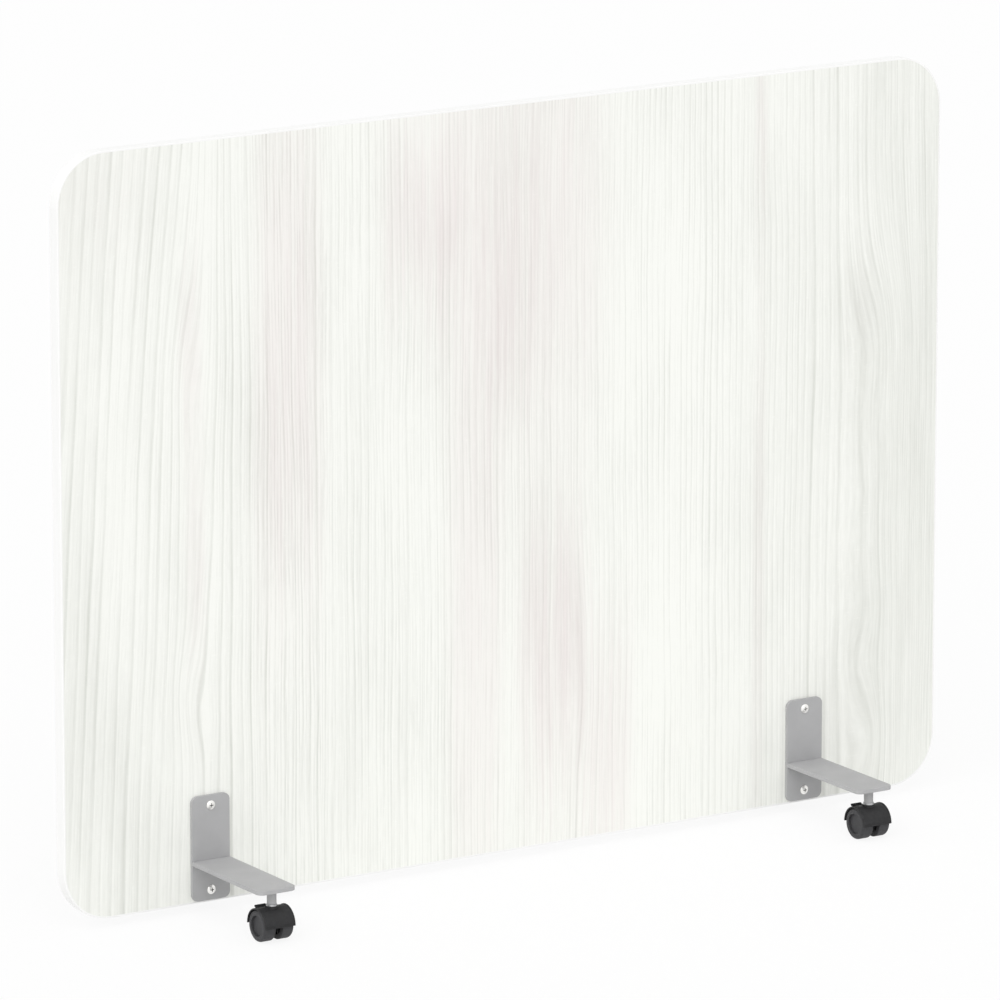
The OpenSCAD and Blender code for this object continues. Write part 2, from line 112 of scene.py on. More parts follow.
# Noises of the decor: width across the grain and length along it in mm, detail and roughness.
# Where a row goes on, the noise's values between the next two numbers become those between the
# last two. Fibres and pores are drawn about ten times too wide, because real ones wouldn't show.
NOISES = {
    "broad sway": (110, 420, 2.0, 0.5),
    "narrow sway": (38, 150, 2.0, 0.5),
    "ring spacing": (46, 1600, 2.0, 0.5),
    "ring fading": (60, 330, 2.0, 0.5, 0.33, 0.62, 0.35, 1.15),
    "comb waver": (30, 700, 3.0, 0.5),
    "comb patches": (12, 80, 3.0, 0.6, 0.36, 0.66, 0.0, 1.4),
    "fibres": (2.2, 120, 3.0, 0.6),
    "pores": (1.2, 26, 2.0, 0.6, 0.0, 1.0, -0.5, 0.5),
    "clouds": (70, 260, 4.0, 0.55, 0.0, 1.0, -0.5, 0.5),
    "flecks": (5, 3, 3.0, 0.6, 0.58, 0.72, 0.0, 1.0),
    "ragged ends": (7, 900, 2.0, 0.5),
    "streaks": (14, 260, 3.0, 0.6, 0.3, 0.7, 0.65, 1.35),
}
SHEET_LUMP = 90             # size in mm of all their lumps from the front sheet to the rear one
SHEET_AWAY = 500.0          # mm that the rear sheet lies off, so that its fine grain is another
SWAYS = {"broad sway": 1, "narrow sway": 1 / 6}     # shares of the full sway
LEAN_FULL = 170.0           # mm from the left end up to which the rings lean fully
LEAN_END = 235.0            # mm from the left end beyond which they stand upright
COMB_WAVER = 30.0           # radians that the fine lines wander at most
PRESSED = 0.05              # mm that late wood and fibres are pressed into the surface

# Figures that the rings bend round: middle in mm from the left end and above the floor, half
# width and half height in mm, how far they open the rings as a share of the half width, and how
# far they push them to the right in mm
FIGURES = (
    (174, 630, 26, 90, 0.45, -9),
    (176, 480, 24, 90, 0.25, -3),
    (172, 258, 24, 55, 0.30, -9),
    (188, 222, 12, 30, 0.35, 0),
    (1118, 560, 46, 110, 0.05, 30),
    (1118, 400, 46, 105, 0.00, 24),
    (1118, 230, 46, 130, 0.00, 32),
    (1118, 20, 46, 150, 0.00, 34),
    (1105, 175, 30, 45, 0.10, -6),
    (1105, 75, 30, 50, 0.05, 6),
    (690, 190, 24, 130, 0.40, 7),
)

# Soft bands of colour: middle and half size in mm as above, and shares of darker and of warmer
BANDS = (
    (60, 180, 100, 230, 0.12, 0.00),
    (15, 500, 30, 520, 0.06, 0.00),
    (30, 850, 90, 90, 0.08, 0.05),
    (170, 660, 15, 80, 0.08, 0.22),
    (175, 430, 13, 120, 0.05, 0.14),
    (240, 560, 50, 110, 0.08, 0.00),
    (300, 690, 42, 250, 0.02, 0.26),
    (296, 480, 45, 150, 0.07, 0.12),
    (480, 780, 55, 110, 0.06, 0.30),
    (620, 760, 104, 220, 0.10, 0.26),
    (600, 640, 40, 110, 0.06, 0.12),
    (550, 300, 36, 330, 0.03, 0.22),
    (655, 240, 46, 160, 0.13, 0.34),
    (694, 200, 7, 120, 0.16, 0.12),
    (735, 110, 34, 150, 0.04, 0.26),
    (945, 300, 9, 330, 0.12, 0.12),
    (945, 840, 9, 90, 0.06, 0.16),
    (968, 480, 55, 520, 0.08, 0.00),
    (1075, 420, 50, 520, 0.09, 0.00),
    (1088, 610, 24, 55, 0.10, 0.03),
    (1170, 450, 85, 620, 0.27, 0.00),
    (1040, 90, 70, 110, 0.10, 0.02),
    (820, 260, 80, 420, -0.05, -0.02),
    (430, 240, 80, 300, 0.05, 0.00),
    (580, 150, 30, 200, -0.05, 0.00),
    (130, 330, 60, 200, -0.03, 0.00),
)


# ---------------------------------------------------------------- colours and nodes

def linear(code):
    """Linear RGB of a colour that is written as an sRGB hex value."""
    levels = [int(code[i:i + 2], 16) / 255 for i in (0, 2, 4)]
    return tuple(c / 12.92 if c <= 0.04045 else ((c + 0.055) / 1.055) ** 2.4 for c in levels)


def add(tree, kind, feeds=None, knots=(), **settings):
    """Adds a shader node: settings are its own, feeds are values or sockets for its inputs, and
    knots are the points of its curve, straight between them."""
    node = tree.nodes.new("ShaderNode" + kind)
    for name, value in settings.items():
        setattr(node, name, value)
    for key, value in (feeds or {}).items():
        if isinstance(value, bpy.types.NodeSocket):
            tree.links.new(value, node.inputs[key])
        else:
            node.inputs[key].default_value = value
    if knots:
        node.mapping.use_clip = False
        points = node.mapping.curves[0].points
        while len(points) < len(knots):
            points.new(0.5, 0.5)
        for point, place in zip(points, knots):
            point.location = place
            point.handle_type = "VECTOR"
        node.mapping.update()
    return node


def bare_material(name, feeds=None):
    """A material of one surface shader: the material, its node tree and the shader."""
    material = bpy.data.materials.new(name)
    material.use_nodes = True
    tree = material.node_tree
    tree.nodes.clear()
    shader = add(tree, "BsdfPrincipled", feeds)
    add(tree, "OutputMaterial", {"Surface": shader.outputs["BSDF"]})
    return material, tree, shader


def seen_share(tree):
    """1 for the rays in which the camera, a mirror or clear stuff sees a surface, 0 for others."""
    path = add(tree, "LightPath")
    seen = path.outputs["Is Camera Ray"]
    for ray in ("Is Glossy Ray", "Is Transmission Ray"):
        seen = add(tree, "Math", {0: seen, 1: path.outputs[ray]}, operation="MAXIMUM").outputs[0]
    return seen


def object_mm(tree):
    """Object coordinates in millimetres."""
    place = add(tree, "TexCoord").outputs["Object"]
    return add(tree, "VectorMath", {0: place, 1: (1 / MM,) * 3}, operation="MULTIPLY").outputs[0]


def grain(tree, point, size, detail=2.0, roughness=0.5):
    """Noise from 0 to 1 whose lumps have that size in millimetres along each axis."""
    scale = tuple(1 / s for s in size)
    spread = add(tree, "VectorMath", {0: point, 1: scale}, operation="MULTIPLY").outputs[0]
    feeds = {"Vector": spread, "Scale": 1.0, "Detail": detail, "Roughness": roughness}
    return add(tree, "TexNoise", feeds).outputs["Fac"]


def bell(tree, point, middle, half, steep_sides=False):
    """Bell round a middle: its height from 0 to 1, and the place across it in half widths.
    Steep sides give it a flat top with straight upright flanks."""
    away = add(tree, "VectorMath", {0: point, 1: (*middle, 0)}, operation="SUBTRACT").outputs[0]
    scale = (1 / half[0], 1 / half[1], 0)
    rel = add(tree, "VectorMath", {0: away, 1: scale}, operation="MULTIPLY").outputs[0]
    side = add(tree, "SeparateXYZ", {0: rel})
    across = add(tree, "Math", {0: side.outputs["X"], 1: 2.0}, operation="POWER").outputs[0]
    if steep_sides:
        across = add(tree, "Math", {0: across, 1: 2.0}, operation="POWER").outputs[0]
    rise = side.outputs["Y"]
    fall = add(tree, "Math", {0: rise, 1: rise, 2: across}, operation="MULTIPLY_ADD").outputs[0]
    minus = add(tree, "Math", {0: fall, 1: -1.0}, operation="MULTIPLY").outputs[0]
    return add(tree, "Math", {0: minus}, operation="EXPONENT").outputs[0], side.outputs["X"]


def two_tones(tree, shader, pattern, light, shade, most=1.0, span=NOISE_SPAN):
    """Colours a surface light, with its shade where a noise is high. The noise counts between
    the ends of the span, and at most that much of the shade is mixed in."""
    feeds = {"Value": pattern, "From Min": span[0], "From Max": span[1], "To Max": most}
    share = add(tree, "MapRange", feeds).outputs[0]
    feeds = {0: share, 6: (*light, 1), 7: (*shade, 1)}
    colour = add(tree, "Mix", feeds, data_type="RGBA").outputs[2]
    tree.links.new(colour, shader.inputs["Base Color"])


def texture(tree, shader, pattern, rough, depth, strength, height=None):
    """Gives a surface a roughness between two values that follows a noise, and a bump, a depth
    in mm high, that follows the same noise or another height."""
    feeds = {"Value": pattern, "From Min": NOISE_SPAN[0], "From Max": NOISE_SPAN[1]}
    feeds.update({"To Min": rough[0], "To Max": rough[1]})
    tree.links.new(add(tree, "MapRange", feeds).outputs[0], shader.inputs["Roughness"])
    feeds = {"Height": height or pattern, "Distance": depth * MM, "Strength": strength}
    tree.links.new(add(tree, "Bump", feeds).outputs["Normal"], shader.inputs["Normal"])


# ---------------------------------------------------------------- finishes

def wood_noise(tree, wood, name):
    """One of the decor's noises, drawn out along the grain and stretched as its row says."""
    width, length, detail, roughness, *stretch = NOISES[name]
    noise = grain(tree, wood, (width, length, SHEET_LUMP), detail, roughness)
    if not stretch:
        return noise
    feeds = dict(zip(("From Min", "From Max", "To Min", "To Max"), stretch))
    return add(tree, "MapRange", {"Value": noise, **feeds}).outputs[0]


def by_zone(tree, share, column):
    """One column of the ring zones as a curve over the length of the board."""
    knots = [(start / BOARD_LENGTH, zone[column]) for start, zone in zip(ZONE_STARTS, RING_ZONES)]
    knots.append((1, RING_ZONES[-1][column]))
    return add(tree, "FloatCurve", {"Value": share}, knots).outputs[0]


def sheet_place(tree):
    """Place on the decor sheet in mm: from the left end, up from the floor, and front or rear.
    Both faces read the same from left to right, as two sheets of one decor do."""
    place = add(tree, "SeparateXYZ", {0: object_mm(tree)})
    rear = add(tree, "Math", {0: place.outputs["Y"], 1: 0.0}, operation="GREATER_THAN").outputs[0]
    turn = add(tree, "Math", {0: rear, 1: -2.0, 2: 1.0}, operation="MULTIPLY_ADD").outputs[0]
    feeds = {0: place.outputs["X"], 1: turn, 2: BOARD_LENGTH / 2}
    across = add(tree, "Math", feeds, operation="MULTIPLY_ADD").outputs[0]
    sheet = add(tree, "Math", {0: rear, 1: SHEET_AWAY}, operation="MULTIPLY").outputs[0]
    return across, place.outputs["Z"], sheet


def grain_drift(tree, look, across, up, point):
    """How far the grain has moved to the right at a place, in mm.
    The rings at the left end lean to the right as they rise, and more so near the top."""
    feeds = {"Value": across, "From Min": LEAN_FULL, "From Max": LEAN_END}
    feeds.update({"To Min": look.lean, "To Max": 0.0})
    lean = add(tree, "MapRange", feeds, interpolation_type="SMOOTHSTEP").outputs[0]
    rise = add(tree, "Math", {0: up, 1: -BOARD_TOP / 2}, operation="ADD").outputs[0]
    lean = add(tree, "Math", {0: lean, 1: rise}, operation="MULTIPLY").outputs[0]
    feeds = {0: rise, 1: look.lean_gain / BOARD_TOP, 2: 1.0}
    gain = add(tree, "Math", feeds, operation="MULTIPLY_ADD").outputs[0]
    drift = add(tree, "Math", {0: lean, 1: gain}, operation="MULTIPLY").outputs[0]
    for middle_x, middle_z, half_w, half_h, opening, push in FIGURES:
        height, side = bell(tree, point, (middle_x, middle_z), (half_w, half_h))
        feeds = {0: side, 1: opening * half_w, 2: push}
        shift = add(tree, "Math", feeds, operation="MULTIPLY_ADD").outputs[0]
        feeds = {0: height, 1: shift, 2: drift}
        drift = add(tree, "Math", feeds, operation="MULTIPLY_ADD").outputs[0]
    for name, strength in SWAYS.items():
        feeds = {0: wood_noise(tree, point, name), 1: 2 * look.sway * strength, 2: drift}
        drift = add(tree, "Math", feeds, operation="MULTIPLY_ADD").outputs[0]
    return drift


def growth_rings(tree, look, share, wood):
    """Darkness of the rings: they are counted along the board, and each ends in late wood."""
    counts = [0.0]
    for start, (end, pitch, *_) in zip(ZONE_STARTS, RING_ZONES):
        counts.append(counts[-1] + (end - start) / pitch)
    knots = [(at / BOARD_LENGTH, count / counts[-1]) for at, count in zip(ZONE_STARTS, counts)]
    count = add(tree, "FloatCurve", {"Value": share}, knots).outputs[0]
    count = add(tree, "Math", {0: count, 1: counts[-1]}, operation="MULTIPLY").outputs[0]
    feeds = {0: wood_noise(tree, wood, "ring spacing"), 1: look.unevenness, 2: count}
    count = add(tree, "Math", feeds, operation="MULTIPLY_ADD").outputs[0]
    phase = add(tree, "Math", {0: count}, operation="FRACT").outputs[0]
    late = add(tree, "FloatCurve", {"Value": phase}, RING_PROFILE).outputs[0]

    # no two rings are equally dark, and each fades here and there along its way
    ring = add(tree, "Math", {0: count}, operation="FLOOR").outputs[0]
    own = add(tree, "TexWhiteNoise", {"W": ring}, noise_dimensions="1D").outputs["Value"]
    feeds = {"Value": own, "To Min": RING_STRENGTH[0], "To Max": RING_STRENGTH[1]}
    own = add(tree, "MapRange", feeds).outputs[0]
    fade = wood_noise(tree, wood, "ring fading")
    for factor in (own, by_zone(tree, share, RING_DARKNESS), fade):
        late = add(tree, "Math", {0: late, 1: factor}, operation="MULTIPLY").outputs[0]
    return late


def comb_lines(tree, look, along, wood, fine):
    """Fine straight lines between the rings that come and go along the board."""
    feeds = {0: along, 1: math.tau / look.comb_pitch}
    turn = add(tree, "Math", feeds, operation="MULTIPLY").outputs[0]
    feeds = {0: wood_noise(tree, wood, "comb waver"), 1: COMB_WAVER, 2: turn}
    turn = add(tree, "Math", feeds, operation="MULTIPLY_ADD").outputs[0]
    comb = add(tree, "Math", {0: turn}, operation="SINE").outputs[0]
    for factor in (fine, wood_noise(tree, wood, "comb patches")):
        comb = add(tree, "Math", {0: comb, 1: factor}, operation="MULTIPLY").outputs[0]
    return comb


def coloured_bands(tree, look, point, wood):
    """How much darker and how much warmer the soft bands make the wood. They end ragged and break
    into streaks, as the grain does."""
    feeds = {0: wood_noise(tree, wood, "ragged ends"), 1: look.ragged, 2: -look.ragged / 2}
    ragged = add(tree, "Math", feeds, operation="MULTIPLY_ADD").outputs[0]
    feeds = {0: point, 1: add(tree, "CombineXYZ", {1: ragged}).outputs[0]}
    torn = add(tree, "VectorMath", feeds, operation="ADD").outputs[0]
    sums = [0.0, 0.0]
    for middle_x, middle_z, half_w, half_h, *shares in BANDS:
        height, _ = bell(tree, torn, (middle_x, middle_z), (half_w, half_h), steep_sides=True)
        for i, share in enumerate(shares):
            feeds = {0: height, 1: share, 2: sums[i]}
            sums[i] = add(tree, "Math", feeds, operation="MULTIPLY_ADD").outputs[0]
    streak = wood_noise(tree, wood, "streaks")
    return [add(tree, "Math", {0: s, 1: streak}, operation="MULTIPLY").outputs[0] for s in sums]


def whitewashed_melamine(look):
    """Melamine paper with a whitewashed pine print, pressed matt with a shallow grain.
    It gives the eye soft upright grey rings, warm streaks and a dull, even sheen."""
    feeds = {"IOR": 1.5, "Specular IOR Level": 0.3}
    material, tree, shader = bare_material("Whitewashed pine melamine", feeds)
    across, up, sheet = sheet_place(tree)
    point = add(tree, "CombineXYZ", {0: across, 1: up, 2: sheet}).outputs[0]
    drift = grain_drift(tree, look, across, up, point)
    along = add(tree, "Math", {0: across, 1: drift}, operation="SUBTRACT").outputs[0]
    wood = add(tree, "CombineXYZ", {0: along, 1: up, 2: sheet}).outputs[0]
    share = add(tree, "Math", {0: along, 1: BOARD_LENGTH}, operation="DIVIDE").outputs[0]
    fine = by_zone(tree, share, LINE_DARKNESS)
    late = growth_rings(tree, look, share, wood)
    fibre = wood_noise(tree, wood, "fibres")
    lines = add(tree, "Math", {0: fibre, 1: 0.5}, operation="SUBTRACT").outputs[0]
    lines = add(tree, "Math", {0: lines, 1: fine}, operation="MULTIPLY").outputs[0]
    darker, warmer = coloured_bands(tree, look, point, wood)
    layers = (
        (late, look.ring_depth),
        (comb_lines(tree, look, along, wood, fine), look.comb_depth),
        (lines, look.fibre_depth),
        (wood_noise(tree, wood, "pores"), look.pore_depth),
        (wood_noise(tree, wood, "clouds"), look.cloud_depth),
        # pale flecks where the white wash sits in the grain
        (wood_noise(tree, wood, "flecks"), -look.fleck_depth),
        (darker, 1.0),
    )
    tone = look.base_tone
    for pattern, depth in layers:
        feeds = {0: pattern, 1: depth, 2: tone}
        tone = add(tree, "Math", feeds, operation="MULTIPLY_ADD").outputs[0]
    feeds = {0: tone, 6: (*look.ground, 1), 7: (*look.late_wood, 1)}
    colour = add(tree, "Mix", feeds, data_type="RGBA").outputs[2]
    feeds = {0: warmer, 6: colour, 7: (*look.warm, 1)}
    colour = add(tree, "Mix", feeds, data_type="RGBA").outputs[2]
    tree.links.new(colour, shader.inputs["Base Color"])

    # late wood is pressed in twice as deep as the fibres
    hollow = add(tree, "Math", {0: late, 1: 2.0, 2: fibre}, operation="MULTIPLY_ADD").outputs[0]
    raised = add(tree, "Math", {0: 0.0, 1: hollow}, operation="SUBTRACT").outputs[0]
    texture(tree, shader, fibre, (0.42, 0.52), PRESSED, 0.35, raised)
    return material


def white_band(look):
    """ABS edge band, extruded, scraped and buffed.
    It gives the eye a clean white line with a soft gloss and faint lengthwise marks."""
    material, tree, shader = bare_material("White ABS edge band")
    point = object_mm(tree)
    mottle = grain(tree, point, (35, 8, 35), 3.0)
    two_tones(tree, shader, mottle, look.band, look.band_shade, 0.3)
    # the scraper's marks run along the band, about 0.7 mm apart and 0.02 mm deep
    scrape = grain(tree, point, (60, 0.7, 60))
    texture(tree, shader, scrape, (0.3, 0.42), 0.02, 0.2)
    return material


def powder_coat(look):
    """Polyester powder coat on flat steel bar, baked satin.
    It gives the eye an even mid grey with the fine orange peel of the cured powder."""
    feeds = {"IOR": 1.5, "Specular IOR Level": 0.05}
    material, tree, shader = bare_material(COAT_NAME, feeds)
    point = object_mm(tree)
    cloud = grain(tree, point, (24, 24, 24), 3.0)
    two_tones(tree, shader, cloud, look.coat, look.coat_shade)
    # the cured powder waves by 0.06 mm
    peel = grain(tree, point, (look.peel,) * 3)
    texture(tree, shader, peel, (0.48, 0.58), 0.06, 0.35)
    return material


def head_recess(tree, point):
    """1 in the cross recess of a head and 0 outside: near the head's axis and below its crown."""
    plate_low, plate_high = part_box("front_right_plate")
    screws_low, screws_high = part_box("screws")
    foot = (plate_low + plate_high) / 2
    head_r = screws_high.x - foot.x
    half_pitch = (screws_high.z - screws_low.z) / 2 - head_r
    place = add(tree, "SeparateXYZ", {0: point})
    side = add(tree, "Math", {0: place.outputs["X"]}, operation="ABSOLUTE").outputs[0]
    side = add(tree, "Math", {0: side, 1: foot.x / MM}, operation="SUBTRACT").outputs[0]
    feeds = {0: place.outputs["Z"], 1: foot.z / MM}
    rise = add(tree, "Math", feeds, operation="SUBTRACT").outputs[0]
    rise = add(tree, "Math", {0: rise}, operation="ABSOLUTE").outputs[0]
    rise = add(tree, "Math", {0: rise, 1: half_pitch / MM}, operation="SUBTRACT").outputs[0]
    away = add(tree, "CombineXYZ", {0: side, 1: rise}).outputs[0]
    away = add(tree, "VectorMath", {0: away}, operation="LENGTH").outputs["Value"]
    depth = add(tree, "Math", {0: place.outputs["Y"]}, operation="ABSOLUTE").outputs[0]
    rim = [share * head_r / MM for share in RECESS_RIM]
    top = [-screws_low.y / MM - below for below in RECESS_TOP]
    inside = []
    for value, (full, none) in ((away, rim), (depth, top)):
        feeds = {"Value": value, "From Min": full, "From Max": none, "To Min": 1.0, "To Max": 0.0}
        inside.append(add(tree, "MapRange", feeds).outputs[0])
    return add(tree, "Math", dict(enumerate(inside)), operation="MULTIPLY").outputs[0]


def nickel_plate(look):
    """Bright nickel on cold headed steel.
    It gives the eye a near-white soft mirror, slightly uneven, with a dark cross recess: shade
    painted into the recess as a duller colour."""
    material, tree, shader = bare_material("Bright nickel plate", {"Metallic": 1.0})
    point = object_mm(tree)
    recess = head_recess(tree, point)
    # painted shade: the cross recess takes a darker colour in place of the nickel
    feeds = {0: recess, 6: (*look.nickel, 1), 7: (*look.recess_painted_shade, 1)}
    colour = add(tree, "Mix", feeds, data_type="RGBA").outputs[2]
    tree.links.new(colour, shader.inputs["Base Color"])
    # the heading tool leaves the steel uneven by 0.03 mm
    uneven = grain(tree, point, (1.6, 1.6, 1.6))
    texture(tree, shader, uneven, (0.3, 0.4), 0.03, 0.4)
    # and the recess is rougher by 0.3 than that
    rough = shader.inputs["Roughness"].links[0].from_socket
    rough = add(tree, "Math", {0: recess, 1: 0.3, 2: rough}, operation="MULTIPLY_ADD").outputs[0]
    tree.links.new(rough, shader.inputs["Roughness"])
    return material


def zinc_plate(look):
    """Zinc on turned steel, passivated.
    It gives the eye a dull light metal with fine rings left by the lathe."""
    material, tree, shader = bare_material("Zinc plated turned steel", {"Metallic": 1.0})
    point = object_mm(tree)
    spangle = grain(tree, point, (3, 3, 3))
    two_tones(tree, shader, spangle, look.zinc, look.zinc_shade)
    # the lathe's rings are drawn 0.6 mm apart and 0.03 mm deep, real ones are about 0.1 mm apart
    rings = grain(tree, point, (60, 60, 0.6), 1.0)
    texture(tree, shader, rings, (0.3, 0.45), 0.03, 0.35)
    return material


def moulded_nylon(name, base, scuffed, spark, roughness, level):
    """Glass filled nylon, moulded against a spark eroded steel mould.
    It gives the eye a dark matt skin with a fine leathery texture and paler scuffed spots."""
    material, tree, shader = bare_material(name, {"IOR": 1.5, "Specular IOR Level": level})
    point = object_mm(tree)
    scuff = grain(tree, point, (5, 5, 5), 4.0, 0.6)
    two_tones(tree, shader, scuff, base, scuffed, 0.6, SCUFF_SPAN)
    # the skin copies the sparks' craters, 0.04 mm deep
    skin = grain(tree, point, (spark,) * 3, 3.0, 0.6)
    texture(tree, shader, skin, (roughness - 0.05, roughness + 0.08), 0.04, 0.5)
    return material


# ---------------------------------------------------------------- meshes

def dress(node, material):
    """Gives a CAD node a material as it is."""
    mesh = frame["nodes"][node].data
    mesh.materials.clear()
    mesh.materials.append(material)


def piece(name, bm, material, body):
    """Makes an object of a bmesh, smooth but for its sharp edges, and lets it ride on a body."""
    mesh = bpy.data.meshes.new(name)
    bm.to_mesh(mesh)
    bm.free()
    mesh.materials.append(material)
    mesh.shade_smooth()
    mesh.set_sharp_from_angle(angle=SHARP)
    obj = bpy.data.objects.new(name, mesh)
    bpy.context.scene.collection.objects.link(obj)
    # flat faces stay flat to the light, and only the rounded edges between them turn it
    flat = obj.modifiers.new("flat faces", "WEIGHTED_NORMAL")
    flat.keep_sharp = True
    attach(obj, body)
    return obj


def body_of(node):
    """Name of the body that carries a CAD node."""
    return frame["nodes"][node]["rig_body"]


def softened(node, radius, material):
    """A copy of a CAD node with its sharp edges rounded, which stands for the node."""
    bm = bmesh.new()
    bm.from_mesh(frame["nodes"][node].data)
    bmesh.ops.remove_doubles(bm, verts=bm.verts, dist=MERGE)
    bmesh.ops.dissolve_limit(bm, angle_limit=FLAT, verts=bm.verts, edges=bm.edges)
    sharp = [e for e in bm.edges if e.is_manifold and e.calc_face_angle() > SHARP]
    bmesh.ops.bevel(bm, geom=sharp, offset=radius * MM, offset_type="OFFSET", segments=2,
                    profile=0.5, affect="EDGES", clamp_overlap=True, material=-1)
    obj = piece(node + "_finished", bm, material, body_of(node))
    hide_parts(node)


def weld_bead(name, start, step, widths, material, body):
    """A weld laid in scales: a round bead that is extruded step by step along its joint.
    The start matrix lays its first circle, the step matrix leads on to the next, and the widths
    are shares of the full one."""
    bm = bmesh.new()
    bmesh.ops.create_circle(bm, radius=widths[0], segments=BEAD_SIDES, matrix=start)
    edges = bm.edges[:]
    place = start
    for width, last in zip(widths[1:], widths):
        grown = bmesh.ops.extrude_edge_only(bm, edges=edges)["geom"]
        verts = {part for part in grown if isinstance(part, bmesh.types.BMVert)}
        edges = [part for part in grown if isinstance(part, bmesh.types.BMEdge)]
        edges = [edge for edge in edges if verts.issuperset(edge.verts)]
        onward = step @ place
        change = onward @ Matrix.Scale(width / last, 4) @ place.inverted()
        bmesh.ops.transform(bm, matrix=change, verts=list(verts))
        place = onward
    bmesh.ops.remove_doubles(bm, verts=bm.verts, dist=MERGE)
    bmesh.ops.holes_fill(bm, edges=bm.edges, sides=0)
    bmesh.ops.recalc_face_normals(bm, faces=bm.faces)
    piece(name, bm, material, body)


def scales(steps, ripple):
    """Widths of a bead along its way, as shares of its full one, with a dip between scales."""
    turn = math.tau / BEAD_STEPS
    return [1 - ripple * (1 + math.cos(turn * step)) / 2 for step in range(steps + 1)]


def boss_top(foot):
    """Middle of the upper end of a boss, on the underside of its arm."""
    low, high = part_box(foot + "_boss")
    middle = (low + high) / 2
    return Vector((middle.x, middle.y, high.z))


def arm_weld(foot, look, coat):
    """A straight bead in the corner between plate and arm, round at its ends."""
    under = boss_top(foot)
    plate_low, plate_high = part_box(foot + "_plate")
    outer = plate_low.y if under.y < 0 else plate_high.y
    leg = look.weld_leg * MM
    stride = look.bead_pitch * MM / BEAD_STEPS
    steps = round(look.weld_length * MM / stride)
    widths = scales(steps, look.bead_ripple)
    for i in range(steps + 1):
        from_end = min(i, steps - i) * stride / leg
        if from_end < 1:
            widths[i] *= max(math.sqrt(1 - (1 - from_end) ** 2), BEAD_END)
    corner = Vector((under.x - steps * stride / 2, outer, under.z))
    place = Matrix.Translation(corner) @ Matrix.Rotation(math.pi / 2, 4, "Y")
    start = place @ Matrix.Scale(leg, 4)
    step = Matrix.Translation((stride, 0, 0))
    weld_bead(foot + "_arm_weld", start, step, widths, coat, body_of(foot + "_plate"))


def boss_weld(foot, look, coat):
    """A bead round a boss, higher than it is wide and closed on itself."""
    centre = boss_top(foot)
    leg = look.weld_leg * MM
    radius = look.boss_radius * MM
    steps = BEAD_STEPS * round(math.tau * radius / (look.bead_pitch * MM))
    side = centre + Vector((radius, 0, 0))
    place = Matrix.Translation(side) @ Matrix.Rotation(math.pi / 2, 4, "X")
    start = place @ Matrix.Diagonal((look.weld_spread * MM, leg, leg, 1))
    turn = Matrix.Rotation(math.tau / steps, 4, "Z")
    step = Matrix.Translation(centre) @ turn @ Matrix.Translation(-centre)
    widths = scales(steps, look.bead_ripple)
    weld_bead(foot + "_boss_weld", start, step, widths, coat, body_of(foot + "_plate"))


# ---------------------------------------------------------------- settings

class BoardLook(bpy.types.PropertyGroup):
    """Colours and figure of the board and its edge band."""
    ground: bpy.props.FloatVectorProperty(
        name="Ground", description="Lightest wood between the rings",
        subtype="COLOR", size=3, min=0, max=1, default=linear("FBFCF7"))
    late_wood: bpy.props.FloatVectorProperty(
        name="Late wood", description="Darkest line of a ring",
        subtype="COLOR", size=3, min=0, max=1, default=linear("C4C6BE"))
    warm: bpy.props.FloatVectorProperty(
        name="Warm streak", description="Rosy brown of the warm bands",
        subtype="COLOR", size=3, min=0, max=1, default=linear("E8D8DA"))
    band: bpy.props.FloatVectorProperty(
        name="Edge band", description="White of the edge band",
        subtype="COLOR", size=3, min=0, max=1, default=linear("FBFBFA"))
    band_shade: bpy.props.FloatVectorProperty(
        name="Edge band mottle", description="Faint second tone of the edge band",
        subtype="COLOR", size=3, min=0, max=1, default=linear("F3F3F1"))
    lean: bpy.props.FloatProperty(
        name="Lean", description="Slope of the rings at the left end",
        default=0.06, min=0, max=0.2)
    lean_gain: bpy.props.FloatProperty(
        name="Lean gain",
        description="How much steeper they lean at the top than at mid height, as a share",
        default=0.43, min=0, max=1)
    sway: bpy.props.FloatProperty(
        name="Sway", description="How far the rings wander, in mm", default=6, min=0, max=30)
    unevenness: bpy.props.FloatProperty(
        name="Unevenness", description="How far the rings stray from even spacing, in rings",
        default=1.6, min=0, max=4)
    base_tone: bpy.props.FloatProperty(
        name="Base tone", description="Darkness of plain wood", default=0.015, min=0, max=1)
    ring_depth: bpy.props.FloatProperty(
        name="Ring depth", description="Darkness of the rings", default=0.4, min=0, max=1)
    comb_pitch: bpy.props.FloatProperty(
        name="Comb pitch", description="Distance between the fine lines, in mm",
        default=4.6, min=2, max=12)
    comb_depth: bpy.props.FloatProperty(
        name="Comb depth", description="Contrast of the fine lines", default=0.08, min=0, max=1)
    fibre_depth: bpy.props.FloatProperty(
        name="Fibre depth", description="Contrast of the long fibres", default=0.3, min=0, max=1)
    pore_depth: bpy.props.FloatProperty(
        name="Pore depth", description="Contrast of the short pores", default=0.3, min=0, max=1)
    cloud_depth: bpy.props.FloatProperty(
        name="Cloud depth", description="Contrast of the broad clouds", default=0.35, min=0, max=1)
    ragged: bpy.props.FloatProperty(
        name="Ragged ends", description="How unevenly the coloured bands end, in mm",
        default=260, min=0, max=600)
    fleck_depth: bpy.props.FloatProperty(
        name="Fleck depth", description="How pale the flecks of the wash are",
        default=0.08, min=0, max=1)


